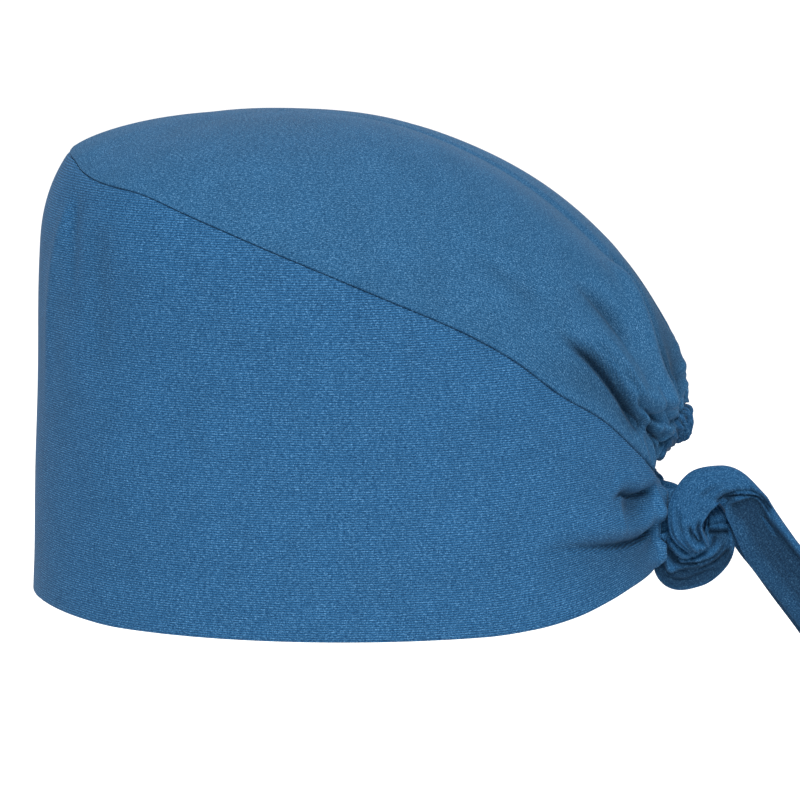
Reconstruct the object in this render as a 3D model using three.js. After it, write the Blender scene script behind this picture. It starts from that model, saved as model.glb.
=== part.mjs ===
// A tie-back scrub cap, in the shape that it takes on a head.
//
// It is sewn from a tall side band that wraps the forehead and temples, a large
// crown panel over the top, a gathered casing with an elastic in it at the nape,
// and two cloth ties that leave the ends of the band and meet in a half knot.
//
// Millimetres. -X is the forehead, +X the nape, -Y the wearer's left, +Z up.
// The origin is the middle of the opening for the head, level with the lower edge.
import * as THREE from "three";

// The whole cap
const RIM_LENGTH = 215; // forehead to nape, outside the lower edge
const RIM_WIDTH = 160; // temple to temple, outside the lower edge
const FRONT_HEIGHT = 152.5; // lower edge to seam at the forehead
const CROWN_HEIGHT = 166.5; // lower edge to the top of the crown
const CROWN_SHIFT = -22; // how far in front of the middle the top lies
const BACK_LIFT = 11; // how far the lower edge rises at the nape

// Cloth and sewing
const BAND_WALL = 1.6; // two layers
const CROWN_WALL = 1.2;
const SEAM_GAP = 0.35; // between the sewn edges of two pieces
const FOLD_DEPTH = 4; // the deepest fold in the band
const GATHER_DEPTH = 3.4; // the deepest pleat of the crown above the casing

// Casing of the elastic
const CASING_WIDTH = 11.5;
const CASING_THICKNESS = 5;
const CASING_RUFFLE = 0.7; // how far its ruffles stand out and in
const CASING_RUFFLES = 15; // ruffles along its whole length
const CASING_CURL = 0.06; // how much its lower edge turns in towards the neck
const CASING_INSET = 1; // from the outside of the crown's edge to its middle
const CASING_END_SHARE = 0.55; // its breadth at its ends
const CASING_TAPER = 0.26; // share of half its line over which it narrows to an end
const CASING_EASE = 0.12; // share of half its line over which its frame is evened out
const CASING_SIDES = 8; // faces round it

// Ties and their half knot
const TIE_WIDTH = 18; // finished width of a tail
const TIE_THICKNESS = 2.4;
const TIE_PINCH = 1.6; // from the end of the band to where the tie narrows
const TIE_PINCH_SHARE = 0.8; // its breadth there, as a share of the end of the band
const LEVEL_PLACES = 3; // the tie stays upright from the band up to this place
const TIE_SIDES = 10; // faces round it
const TIE_STEPS = 4; // sections between two of its places
const KNOT_LENGTH = 26; // along X
const KNOT_DEPTH = 32; // along Y
const KNOT_HEIGHT = 43;
const KNOT_STANDOFF = 2; // from the ends of the band to the knot
const TAIL_DROP = 112; // from the middle of the knot down to the end of a tail
const TAIL_REACH = 68; // from the middle of the knot back to the end of a tail

// Degrees round the head from the middle of the forehead
const SIDE_ANGLE = 120; // the columns of the mesh are closer behind it
const HEM_START_ANGLE = 166; // the pleats and the casing start here
const CASING_START_ANGLE = 166.8;
const BAND_END_ANGLE = 172;
const BACK_ANGLE = 180; // the middle of the nape

const RIM_HALF_LENGTH = RIM_LENGTH / 2;
const RIM_HALF_WIDTH = RIM_WIDTH / 2;

// How the surfaces are worked out
const BAND_ROUNDING = 2.4; // the higher, the later the band rounds in to its seam
const FAN_HEIGHT = 0.6; // share of the way up over which the gathered columns fan out
const BAND_FLAT_EDGE = 0.1; // share of the height at the seam that folds don't reach
const CROWN_FLAT_EDGE = 0.05;
const BAND_RISES = [0, 0.14, 0.28, 0.4, 0.52, 0.64, 0.74, 0.83, 0.9, 0.95, 1];
const CROWN_RISES = [0, 0.04, 0.08, 0.12, 0.16, 0.21, 0.27, 0.34, 0.42, 0.52, 0.64, 0.77, 0.9];

// Sections of the side band. The seam's height is a share of FRONT_HEIGHT, the lift of
// the lower edge one of BACK_LIFT. The seam's reach and the lean, how far the cloth comes
// in below the seam, are shares of the rim's half length and width. Above "bend", a share
// of the band's own height, it rounds in to the seam.
const BAND_SECTIONS = [
  { angle: 0, seamHeight: 1.0, seamReach: 0.835, lean: 0.06, bend: 0.79, lift: 0.2 },
  { angle: 14, seamHeight: 0.993, seamReach: 0.84, lean: 0.06, bend: 0.79, lift: 0.19 },
  { angle: 22, seamHeight: 0.976, seamReach: 0.852, lean: 0.06, bend: 0.79, lift: 0.15 },
  { angle: 32, seamHeight: 0.961, seamReach: 0.865, lean: 0.06, bend: 0.79, lift: 0.08 },
  { angle: 45, seamHeight: 0.949, seamReach: 0.875, lean: 0.055, bend: 0.8, lift: 0 },
  { angle: 60, seamHeight: 0.903, seamReach: 0.882, lean: 0.055, bend: 0.78, lift: 0 },
  { angle: 80, seamHeight: 0.822, seamReach: 0.886, lean: 0.055, bend: 0.75, lift: 0 },
  { angle: 100, seamHeight: 0.73, seamReach: 0.892, lean: 0.055, bend: 0.72, lift: 0 },
  { angle: 115, seamHeight: 0.655, seamReach: 0.905, lean: 0.05, bend: 0.7, lift: 0 },
  { angle: 125, seamHeight: 0.59, seamReach: 0.922, lean: 0.04, bend: 0.65, lift: 0.08 },
  { angle: 135, seamHeight: 0.507, seamReach: 0.946, lean: 0.025, bend: 0.6, lift: 0.27 },
  { angle: 145, seamHeight: 0.445, seamReach: 0.968, lean: 0.015, bend: 0.55, lift: 0.56 },
  { angle: 155, seamHeight: 0.368, seamReach: 0.988, lean: 0.005, bend: 0.5, lift: 0.8 },
  { angle: 165, seamHeight: 0.3, seamReach: 1.0, lean: 0, bend: 0.5, lift: 0.93 },
  { angle: 172, seamHeight: 0.27, seamReach: 1.0, lean: 0, bend: 0.5, lift: 1.0 },
  { angle: 180, seamHeight: 0.26, seamReach: 1.0, lean: 0, bend: 0.5, lift: 1.0 },
];

// Sections of the crown, from the seam up to the top: how far it leans outwards as it
// leaves the seam, as a share of the rim, how far it rises there as a share of the way
// up, and how flat it comes in to the top.
const CROWN_SECTIONS = [
  { angle: 0, lean: -0.1, rise: 0.5, flat: 0.4 },
  { angle: 28, lean: -0.1, rise: 0.5, flat: 0.4 },
  { angle: 45, lean: -0.1, rise: 0.5, flat: 0.42 },
  { angle: 60, lean: -0.08, rise: 0.52, flat: 0.45 },
  { angle: 80, lean: -0.04, rise: 0.5, flat: 0.48 },
  { angle: 100, lean: -0.02, rise: 0.47, flat: 0.52 },
  { angle: 115, lean: 0.01, rise: 0.45, flat: 0.56 },
  { angle: 125, lean: 0.05, rise: 0.44, flat: 0.6 },
  { angle: 140, lean: 0.12, rise: 0.42, flat: 0.65 },
  { angle: 155, lean: 0.18, rise: 0.39, flat: 0.685 },
  { angle: 165, lean: 0.19, rise: 0.38, flat: 0.69 },
  { angle: 168, lean: 0.14, rise: 0.38, flat: 0.69 },
  { angle: 172, lean: 0.065, rise: 0.38, flat: 0.68 },
  { angle: 180, lean: -0.01, rise: 0.4, flat: 0.68 },
];

// Between the ends of the band the lower edge of the crown arches over the nape. Its
// height is a share of FRONT_HEIGHT and its reach one of the rim's half length.
const HEM_SECTIONS = [
  { angle: 165, height: 0.3, reach: 1.0 },
  { angle: 168, height: 0.351, reach: 1.02 },
  { angle: 172, height: 0.402, reach: 1.045 },
  { angle: 176, height: 0.4235, reach: 1.06 },
  { angle: 180, height: 0.43, reach: 1.065 },
];

// How the columns of cloth gathered on the casing fan out towards the top, in degrees.
const CROWN_FAN = [
  { angle: 0, top: 0 },
  { angle: 90, top: 80 },
  { angle: 145, top: 112 },
  { angle: 165, top: 130 },
  { angle: 180, top: 180 },
];

// Folds, each a soft line between two places. A rise of 0 is the lower edge of the
// piece and 1 its upper end. Depth is a share of FOLD_DEPTH, inwards if negative, and
// breadth one of RIM_LENGTH. The fold is at its full depth at its first end, and fades
// out towards its other end from the share of its length given by "fade".
const BAND_FOLDS = {
  ridge: { angle: 26, rise: 0.94, endAngle: 16, endRise: 0.3, depth: 0.3, breadth: 0.024, fade: 0.2 },
  temple: { angle: 35, rise: 0.88, endAngle: 30, endRise: 0.4, depth: -0.3, breadth: 0.05, fade: 0.2 },
  pull: { angle: 169, rise: 0.46, endAngle: 124, endRise: 0.28, depth: -0.8, breadth: 0.026, fade: 0.05 },
  dimple: { angle: 165, rise: 0.78, endAngle: 150, endRise: 0.68, depth: -1.0, breadth: 0.03, fade: 0.2 },
};
const CROWN_FOLDS = {
  deep: { angle: 160, rise: 0.05, endAngle: 134, endRise: 0.13, depth: -1.0, breadth: 0.024, fade: 0.3 },
  side: { angle: 159, rise: 0.2, endAngle: 146, endRise: 0.32, depth: -0.55, breadth: 0.03, fade: 0.2 },
  back: { angle: 164, rise: 0.12, endAngle: 169, endRise: 0.5, depth: -0.7, breadth: 0.026, fade: 0.3 },
};

// Pleats of the crown from the middle of the back to the end of the casing, as shares
// of GATHER_DEPTH and of the way up to the top of the crown.
const CROWN_PLEATS = [
  { depth: 0.75, reach: 0.3 },
  { depth: 0.6, reach: 0.16 },
  { depth: 1.0, reach: 0.36 },
  { depth: 0.55, reach: 0.14 },
  { depth: 0.8, reach: 0.2 },
  { depth: 0.5, reach: 0.12 },
];

// The ties in the knot. Each row is a place on the tie: x, y and z as shares of half
// the knot's length, depth and height from its middle, where its broad face looks,
// and its breadth and thickness as shares of TIE_WIDTH and TIE_THICKNESS.
const LEFT_TIE_TURNS = [
  { x: -0.82, y: -0.51, z: -0.05, faceX: 0.2, faceY: -0.97, faceZ: 0, breadth: 0.5, thickness: 1.9 },
  { x: -0.72, y: -0.51, z: -0.36, faceX: 0, faceY: -1, faceZ: 0, breadth: 0.42, thickness: 2 },
  { x: -0.66, y: -0.49, z: -0.65, faceX: 0, faceY: -1, faceZ: 0, breadth: 0.74, thickness: 2.42 },
  { x: -0.18, y: -0.48, z: -0.76, faceX: 0, faceY: -1, faceZ: 0, breadth: 0.73, thickness: 2.58 },
  { x: 0.32, y: -0.45, z: -0.56, faceX: 0, faceY: -1, faceZ: 0, breadth: 0.64, thickness: 2.5 },
  { x: 0.45, y: -0.39, z: -0.23, faceX: 0, faceY: -1, faceZ: 0, breadth: 0.62, thickness: 2.42 },
  { x: 0.31, y: -0.23, z: 0.07, faceX: 0, faceY: -0.9, faceZ: 0.3, breadth: 0.46, thickness: 2.17 },
  { x: -0.09, y: 0.17, z: 0.2, faceX: 0, faceY: -0.2, faceZ: 0.95, breadth: 0.44, thickness: 1.75 },
  { x: -0.08, y: 0.53, z: 0.02, faceX: 0, faceY: 0.7, faceZ: 0.7, breadth: 0.61, thickness: 1.33 },
  { x: 0.38, y: 0.74, z: -0.08, faceX: 0.2, faceY: 0.95, faceZ: 0.1, breadth: 0.7, thickness: 1.3 },
  { x: 0.97, y: 0.71, z: -0.08, faceX: 0.1, faceY: 1, faceZ: 0.1, breadth: 0.87, thickness: 1 },
];
const RIGHT_TIE_TURNS = [
  { x: -0.87, y: 0.51, z: -0.01, faceX: 0.4, faceY: 0.9, faceZ: 0, breadth: 0.6, thickness: 1.7 },
  { x: -0.54, y: 0.33, z: -0.16, faceX: 0.8, faceY: 0.6, faceZ: 0, breadth: 0.48, thickness: 2.08 },
  { x: -0.23, y: 0.03, z: -0.25, faceX: 1, faceY: 0.2, faceZ: 0, breadth: 0.4, thickness: 2.25 },
  { x: -0.2, y: -0.41, z: -0.26, faceX: 1, faceY: 0, faceZ: -0.1, breadth: 0.39, thickness: 2.25 },
  { x: -0.22, y: -0.82, z: -0.3, faceX: 0.3, faceY: -0.7, faceZ: -0.7, breadth: 0.5, thickness: 2.08 },
  { x: -0.49, y: -0.97, z: -0.03, faceX: -0.1, faceY: -0.99, faceZ: -0.1, breadth: 0.64, thickness: 1.75 },
  { x: -0.4, y: -0.96, z: 0.32, faceX: 0, faceY: -1, faceZ: 0.1, breadth: 0.8, thickness: 1.58 },
  { x: -0.02, y: -0.89, z: 0.56, faceX: 0, faceY: -0.95, faceZ: 0.3, breadth: 0.86, thickness: 1.58 },
  { x: 0.46, y: -0.8, z: 0.68, faceX: 0, faceY: -0.9, faceZ: 0.4, breadth: 0.64, thickness: 1.67 },
  { x: 0.89, y: -0.75, z: 0.55, faceX: 0.05, faceY: -0.95, faceZ: 0.25, breadth: 0.62, thickness: 1.8 },
  { x: 1.17, y: -0.68, z: 0.22, faceX: 0, faceY: -1, faceZ: 0.1, breadth: 0.87, thickness: 1.42 },
];
// The tails below the knot, as shares of TAIL_REACH, TAIL_DROP and KNOT_DEPTH.
const LEFT_TAIL = [
  { reach: 0.34, drop: 0.105, side: 0.32 },
  { reach: 0.48, drop: 0.218, side: 0.3 },
  { reach: 0.66, drop: 0.368, side: 0.3 },
  { reach: 0.81, drop: 0.53, side: 0.32 },
  { reach: 0.91, drop: 0.75, side: 0.34 },
  { reach: 0.955, drop: 0.965, side: 0.36 },
];
const RIGHT_TAIL = [
  { reach: 0.347, drop: 0.09, side: -0.31 },
  { reach: 0.487, drop: 0.193, side: -0.3 },
  { reach: 0.662, drop: 0.336, side: -0.3 },
  { reach: 0.82, drop: 0.51, side: -0.31 },
  { reach: 0.94, drop: 0.73, side: -0.32 },
  { reach: 1.0, drop: 1.0, side: -0.33 },
];

const radians = THREE.MathUtils.degToRad;
const mix = THREE.MathUtils.lerp;
const smooth = THREE.MathUtils.smoothstep;

// How steep a column of a table is at one of its rows: level where it turns or ends.
function slopeAt(table, column, row) {
  if (row < 1 || row > table.length - 2) return 0;
  const [before, after] = [row - 1, row].map(
    (i) => (table[i + 1][column] - table[i][column]) / (table[i + 1].angle - table[i].angle),
  );
  return before * after > 0 ? (2 * before * after) / (before + after) : 0;
}

// One column of a table of sections at an angle, by a cubic that never overshoots.
function columnAt(table, column, angle) {
  const at = THREE.MathUtils.clamp(Math.abs(angle), table[0].angle, table.at(-1).angle);
  const row = Math.max(0, table.findIndex((section) => section.angle >= at) - 1);
  const span = table[row + 1].angle - table[row].angle;
  const s = (at - table[row].angle) / span;
  const value = table[row][column];
  const step = table[row + 1][column] - value;
  const a = slopeAt(table, column, row) * span;
  const b = slopeAt(table, column, row + 1) * span;
  return value + a * s + (3 * step - 2 * a - b) * s * s + (a + b - 2 * step) * s * s * s;
}

// The place at share t of the way along a curve that leaves a towards b and comes to d
// from c.
function cubic(a, b, c, d, t) {
  const s = 1 - t;
  return s * s * s * a + 3 * s * s * t * b + 3 * s * t * t * c + t * t * t * d;
}

// A place at an angle round the head, at a share of the rim's reach and a height.
function placed(angle, reach, height) {
  return new THREE.Vector3(
    CROWN_SHIFT * (1 - reach) - RIM_HALF_LENGTH * reach * Math.cos(radians(angle)),
    RIM_HALF_WIDTH * reach * Math.sin(radians(angle)),
    height,
  );
}

function seamHeight(angle) {
  return FRONT_HEIGHT * columnAt(BAND_SECTIONS, "seamHeight", angle);
}

// The band without folds: rise 0 is its lower edge and 1 its seam.
function plainBand(angle, rise) {
  const foot = BACK_LIFT * columnAt(BAND_SECTIONS, "lift", angle);
  const bend = columnAt(BAND_SECTIONS, "bend", angle);
  const lean = columnAt(BAND_SECTIONS, "lean", angle);
  const reach = columnAt(BAND_SECTIONS, "seamReach", angle);
  const rounded = Math.max(0, (rise - bend) / (1 - bend)) ** BAND_ROUNDING;
  const inwards = lean * rise + (1 - lean - reach) * rounded;
  return placed(angle, 1 - inwards, mix(foot, seamHeight(angle), rise));
}

// The lower edge of the crown: the seam of the band, and the arch at the nape.
function crownEdge(angle) {
  const [table, height, reach] = Math.abs(angle) < HEM_SECTIONS[0].angle
    ? [BAND_SECTIONS, "seamHeight", "seamReach"]
    : [HEM_SECTIONS, "height", "reach"];
  return {
    height: FRONT_HEIGHT * columnAt(table, height, angle),
    reach: columnAt(table, reach, angle),
  };
}

// The crown without pleats. A column is named by the angle of its foot, and fans out
// over the back as it rises. Rise 0 is the lower edge and 1 the top.
function plainCrown(foot, rise) {
  const top = Math.sign(foot) * columnAt(CROWN_FAN, "top", foot);
  const angle = mix(foot, top, 1 - (1 - Math.min(1, rise / FAN_HEIGHT)) ** 2);
  const edge = crownEdge(angle);
  const shoulder = mix(edge.height, CROWN_HEIGHT, columnAt(CROWN_SECTIONS, "rise", angle));
  const bulge = edge.reach + columnAt(CROWN_SECTIONS, "lean", angle);
  return placed(
    angle,
    cubic(edge.reach, bulge, columnAt(CROWN_SECTIONS, "flat", angle), 0, rise),
    cubic(edge.height, shoulder, CROWN_HEIGHT, CROWN_HEIGHT, rise),
  );
}

// The outward normal of a surface, from two short steps on it.
function normalOf(surface, angle, rise) {
  const turn = 0.2;
  const step = 0.004;
  const round = surface(angle + turn, rise).sub(surface(angle - turn, rise));
  const up = surface(angle, Math.min(1, rise + step)).sub(surface(angle, Math.max(0, rise - step)));
  return up.cross(round).normalize();
}

// Both walls of the seam are cut along one direction, halfway between their normals, so
// that they don't meet inside.
function seamDirection(angle) {
  const besideSeam = 0.01;
  const band = normalOf(plainBand, angle, 1 - besideSeam);
  return band.add(normalOf(plainCrown, angle, besideSeam)).normalize();
}

// How far the folds of a table push the cloth out at a place.
function foldsAt(table, height, angle, rise) {
  const scale = new THREE.Vector2(radians(1) * RIM_HALF_WIDTH, height);
  let out = 0;
  for (const fold of Object.values(table)) {
    const start = new THREE.Vector2(fold.angle, fold.rise);
    const way = new THREE.Vector2(fold.endAngle, fold.endRise).sub(start).multiply(scale);
    const offset = new THREE.Vector2(Math.abs(angle), rise).sub(start).multiply(scale);
    const share = THREE.MathUtils.clamp(offset.dot(way) / way.lengthSq(), 0, 1);
    const away = offset.sub(way.multiplyScalar(share)).length() / (fold.breadth * RIM_LENGTH);
    out += FOLD_DEPTH * fold.depth * (1 - smooth(share, fold.fade, 1)) * Math.exp(-away * away);
  }
  return out;
}

// The short pleats push the crown in above the casing.
function crownPleat(foot, rise) {
  const at = (BACK_ANGLE - Math.abs(foot)) / (BACK_ANGLE - HEM_START_ANGLE);
  if (at >= 1) return 0;
  const pleat = CROWN_PLEATS[Math.floor(at * CROWN_PLEATS.length)];
  const fade = 1 - smooth(rise, 0, pleat.reach);
  return -GATHER_DEPTH * pleat.depth * fade * Math.sin(Math.PI * at * CROWN_PLEATS.length) ** 2;
}

// A place on the band or the crown, "inward" millimetres inside the outer face.
function bandPoint(angle, rise, inward) {
  const nearSeam = smooth(rise, 1 - BAND_FLAT_EDGE, 1);
  const direction = normalOf(plainBand, angle, rise).lerp(seamDirection(angle), nearSeam).normalize();
  const fold = (1 - nearSeam) * foldsAt(BAND_FOLDS, seamHeight(angle), angle, rise);
  return plainBand(angle, rise).addScaledVector(direction, fold - inward);
}

function crownPoint(foot, rise, inward) {
  const nearSeam = 1 - smooth(rise, 0, CROWN_FLAT_EDGE);
  const direction = normalOf(plainCrown, foot, rise).lerp(seamDirection(foot), nearSeam).normalize();
  const fold = (1 - nearSeam) * foldsAt(CROWN_FOLDS, CROWN_HEIGHT, foot, rise);
  return plainCrown(foot, rise).addScaledVector(direction, fold + crownPleat(foot, rise) - inward);
}

// A mesh from places and the faces between them, each with its corners against the
// clock as seen from outside.
function solidFrom(places, quads, triangles = []) {
  const corners = [...triangles];
  for (const [a, b, c, d] of quads) corners.push([a, b, c], [a, c, d]);
  const geometry = new THREE.BufferGeometry();
  const coordinates = places.flatMap((place) => place.toArray());
  geometry.setAttribute("position", new THREE.Float32BufferAttribute(coordinates, 3));
  geometry.setIndex(corners.flat());
  geometry.computeVertexNormals();
  return geometry;
}

function evenSteps(from, to, steps) {
  return Array.from({ length: steps + 1 }, (_, i) => mix(from, to, i / steps));
}

// The outer face, the inner face and the lower edge of a wall. at(inner, row, column)
// is the number of a place: rows go up, columns go from the wearer's right to the left.
function wallQuads(rows, columns, at) {
  const quads = [];
  for (let c = 0; c < columns; c++) {
    for (let r = 0; r < rows; r++) {
      quads.push([at(0, r, c), at(0, r, c + 1), at(0, r + 1, c + 1), at(0, r + 1, c)]);
      quads.push([at(1, r, c), at(1, r + 1, c), at(1, r + 1, c + 1), at(1, r, c + 1)]);
    }
    quads.push([at(0, 0, c), at(1, 0, c), at(1, 0, c + 1), at(0, 0, c + 1)]);
  }
  return quads;
}

// The side band: a strip of cloth from one end, round the forehead, to the other.
function bandGeometry() {
  const half = [...evenSteps(0, SIDE_ANGLE, 18), ...evenSteps(SIDE_ANGLE, BAND_END_ANGLE, 16).slice(1)];
  const angles = [...half.slice(1).reverse(), ...half.map((angle) => -angle)];
  const places = [0, BAND_WALL].flatMap((inward) =>
    BAND_RISES.flatMap((rise) =>
      angles.map((angle) => bandPoint(angle, rise * (1 - SEAM_GAP / seamHeight(angle)), inward)),
    ),
  );
  const at = (inner, row, column) => (inner * BAND_RISES.length + row) * angles.length + column;
  const top = BAND_RISES.length - 1;
  const end = angles.length - 1;
  const quads = wallQuads(top, end, at);
  for (let c = 0; c < end; c++) {
    quads.push([at(0, top, c), at(0, top, c + 1), at(1, top, c + 1), at(1, top, c)]);
  }
  for (let r = 0; r < top; r++) {
    quads.push([at(0, r, 0), at(0, r + 1, 0), at(1, r + 1, 0), at(1, r, 0)]);
    quads.push([at(0, r, end), at(1, r, end), at(1, r + 1, end), at(0, r + 1, end)]);
  }
  return solidFrom(places, quads);
}

// The crown: a closed ring of columns from its lower edge up to one point at the top.
function crownGeometry() {
  const half = [
    ...evenSteps(0, SIDE_ANGLE, 14),
    ...evenSteps(SIDE_ANGLE, HEM_START_ANGLE, 8).slice(1),
    ...evenSteps(HEM_START_ANGLE, BACK_ANGLE, 4 * CROWN_PLEATS.length).slice(1),
  ];
  const feet = [...half.slice(1, -1).reverse(), ...half.map((angle) => -angle)];
  const places = [0, CROWN_WALL].flatMap((inward) => [
    ...CROWN_RISES.flatMap((rise) => feet.map((foot) => crownPoint(foot, rise, inward))),
    placed(0, 0, CROWN_HEIGHT - inward),
  ]);
  const layer = feet.length * CROWN_RISES.length + 1;
  const at = (inner, row, column) => inner * layer + row * feet.length + (column % feet.length);
  const top = CROWN_RISES.length - 1;
  const quads = wallQuads(top, feet.length, at);
  const triangles = feet.flatMap((_, c) => [
    [at(0, top, c), at(0, top, c + 1), layer - 1],
    [at(1, top, c), 2 * layer - 1, at(1, top, c + 1)],
  ]);
  return solidFrom(places, quads, triangles);
}

// A closed tube through rings of points, each ring turning against the clock as seen
// from the tube's far end.
function tubeGeometry(rings) {
  const sides = rings[0].length;
  const last = rings.length - 1;
  const sumOf = (ring) => ring.reduce((sum, place) => sum.add(place), new THREE.Vector3());
  const middle = (ring) => sumOf(ring).divideScalar(sides);
  const places = [...rings.flat(), middle(rings[0]), middle(rings[last])];
  const at = (row, side) => row * sides + (side % sides);
  const quads = [];
  const triangles = [];
  for (let s = 0; s < sides; s++) {
    for (let r = 0; r < last; r++) {
      quads.push([at(r, s), at(r, s + 1), at(r + 1, s + 1), at(r + 1, s)]);
    }
    triangles.push([at(0, s + 1), at(0, s), places.length - 2]);
    triangles.push([at(last, s), at(last, s + 1), places.length - 1]);
  }
  return solidFrom(places, quads, triangles);
}

// A flat oval ring of points: breadth along "across", thickness along "face".
function ovalRing(middle, across, face, breadth, thickness, sides) {
  return Array.from({ length: sides }, (_, i) => {
    const turn = (2 * Math.PI * i) / sides;
    const aside = (Math.cos(turn) * breadth) / 2;
    const outwards = (Math.sin(turn) * thickness) / 2;
    return middle.clone().addScaledVector(across, aside).addScaledVector(face, outwards);
  });
}

// The casing hangs below the arch of the crown from one end of the band to the other,
// ruffled by the elastic inside it, and narrows to where it is sewn in beside the ties.
function casingGeometry() {
  const steps = 4 * CASING_RUFFLES;
  const line = (round) => {
    const foot = (round < 0 ? -1 : 1) * mix(BACK_ANGLE, CASING_START_ANGLE, Math.abs(round));
    return plainCrown(foot, 0).addScaledVector(seamDirection(foot), -CASING_INSET);
  };
  const rings = evenSteps(-1, 1, steps).map((round, i) => {
    const [before, after] = [round - CASING_EASE, round + CASING_EASE];
    const edge = line(round);
    const along = line(Math.min(1, after)).sub(line(Math.max(-1, before))).normalize();
    const outward = new THREE.Vector3(1, 0, 0).addScaledVector(along, -along.x).normalize();
    const up = outward.clone().cross(along).addScaledVector(outward, CASING_CURL).normalize();
    const out = along.clone().cross(up).normalize();
    const ruffle = CASING_RUFFLE * Math.cos((2 * Math.PI * CASING_RUFFLES * i) / steps);
    const narrowed = mix(CASING_END_SHARE, 1, smooth(1 - Math.abs(round), 0, CASING_TAPER));
    const breadth = narrowed * (CASING_WIDTH + ruffle);
    const thickness = Math.sqrt(narrowed) * (CASING_THICKNESS + ruffle);
    edge.addScaledVector(up, -breadth / 2 - SEAM_GAP);
    return ovalRing(edge, up, out, breadth, thickness, CASING_SIDES);
  });
  return tubeGeometry(rings);
}

// The places of a tie: the end of the band, its turns in the knot, and its tail.
function tiePlaces(side, turns, tail) {
  const angle = side * BAND_END_ANGLE;
  const outward = normalOf(plainBand, angle, 0.5);
  const onward = outward.clone().cross(new THREE.Vector3(0, 0, side)).normalize();
  const end = bandPoint(angle, 0.5, BAND_WALL / 2);
  const breadth = plainBand(angle, 0).distanceTo(plainBand(angle, 1)) - 2 * SEAM_GAP;
  const knot = new THREE.Vector3(end.x + KNOT_STANDOFF + KNOT_LENGTH / 2, 0, end.z);
  const fromKnot = (x, y, z) => new THREE.Vector3(x, y, z).add(knot);
  return [
    {
      at: end.clone().addScaledVector(onward, SEAM_GAP),
      face: outward,
      breadth,
      thickness: BAND_WALL,
    },
    {
      at: end.clone().addScaledVector(onward, TIE_PINCH),
      face: new THREE.Vector3(0, side, 0).add(outward).normalize(),
      breadth: TIE_PINCH_SHARE * breadth,
      thickness: BAND_WALL,
    },
    ...turns.map(({ x, y, z, faceX, faceY, faceZ, breadth, thickness }) => ({
      at: fromKnot((x * KNOT_LENGTH) / 2, (y * KNOT_DEPTH) / 2, (z * KNOT_HEIGHT) / 2),
      face: new THREE.Vector3(faceX, faceY, faceZ).normalize(),
      breadth: breadth * TIE_WIDTH,
      thickness: thickness * TIE_THICKNESS,
    })),
    ...tail.map(({ reach, drop, side: aside }) => ({
      at: fromKnot(reach * TAIL_REACH, aside * KNOT_DEPTH, -drop * TAIL_DROP),
      face: new THREE.Vector3(0, -side, 0),
      breadth: TIE_WIDTH,
      thickness: TIE_THICKNESS,
    })),
  ];
}

// A tie: a flat oval section carried along a smooth line through its places.
function tieGeometry(side, turns, tail) {
  const places = tiePlaces(side, turns, tail);
  const line = new THREE.CatmullRomCurve3(places.map((place) => place.at), false, "centripetal");
  const last = places.length - 1;
  const rings = evenSteps(0, 1, TIE_STEPS * last).map((share, step) => {
    const row = Math.min(last - 1, Math.floor(step / TIE_STEPS));
    const here = places[row];
    const next = places[row + 1];
    const onwards = smooth(share * last - row, 0, 1);
    const along = line.getTangent(share);
    along.z *= smooth(share * last, 0, LEVEL_PLACES);
    along.normalize();
    const across = here.face.clone().lerp(next.face, onwards).cross(along).normalize();
    const face = along.cross(across);
    const breadth = mix(here.breadth, next.breadth, onwards);
    const thickness = mix(here.thickness, next.thickness, onwards);
    return ovalRing(line.getPoint(share), across, face, breadth, thickness, TIE_SIDES);
  });
  return tubeGeometry(rings);
}

const cloth = new THREE.MeshStandardMaterial({ color: 0x386a98, roughness: 0.85, metalness: 0 });

function piece(name, geometry) {
  const mesh = new THREE.Mesh(geometry, cloth.clone());
  mesh.name = name;
  return mesh;
}

const scrubCap = new THREE.Group();
scrubCap.add(
  piece("side_band", bandGeometry()),
  piece("crown", crownGeometry()),
  piece("elastic_casing", casingGeometry()),
  piece("left_tie", tieGeometry(-1, LEFT_TIE_TURNS, LEFT_TAIL)),
  piece("right_tie", tieGeometry(1, RIGHT_TIE_TURNS, RIGHT_TAIL)),
);

export default scrubCap;
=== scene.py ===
import math
from collections import namedtuple

import bmesh
import bpy
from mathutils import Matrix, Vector, noise


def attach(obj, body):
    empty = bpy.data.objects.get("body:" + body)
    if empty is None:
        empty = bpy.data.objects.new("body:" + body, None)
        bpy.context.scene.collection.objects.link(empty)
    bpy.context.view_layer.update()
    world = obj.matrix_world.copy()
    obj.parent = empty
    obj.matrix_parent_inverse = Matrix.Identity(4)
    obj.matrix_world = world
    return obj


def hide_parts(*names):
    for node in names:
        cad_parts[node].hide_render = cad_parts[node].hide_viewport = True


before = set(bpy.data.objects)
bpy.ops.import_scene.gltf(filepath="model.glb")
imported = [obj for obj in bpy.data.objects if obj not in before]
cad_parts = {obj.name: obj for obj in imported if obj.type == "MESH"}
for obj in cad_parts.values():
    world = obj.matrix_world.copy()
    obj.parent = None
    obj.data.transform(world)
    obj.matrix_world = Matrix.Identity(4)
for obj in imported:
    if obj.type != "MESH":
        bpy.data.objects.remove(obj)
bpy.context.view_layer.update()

# The cap as worn, in metres: -X is the forehead, +X the nape, -Y the wearer's left and
# +Z up, from the middle of the opening for the head, level with the lower edge.
RIM_HALF_LENGTH = 0.1075
RIM_HALF_WIDTH = 0.080
FRONT_HEIGHT = 0.1525
CROWN_HEIGHT = 0.1665
CROWN_SHIFT = -0.022
BACK_LIFT = 0.011

# Cloth and sewing
BAND_WALL = 0.0016
CROWN_WALL = 0.0012
SEAM_GAP = 0.0002
SEAM_ALLOWANCE = 0.0024
LIP_RADIUS = 0.0003
LIP_EASE = 0.3

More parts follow.
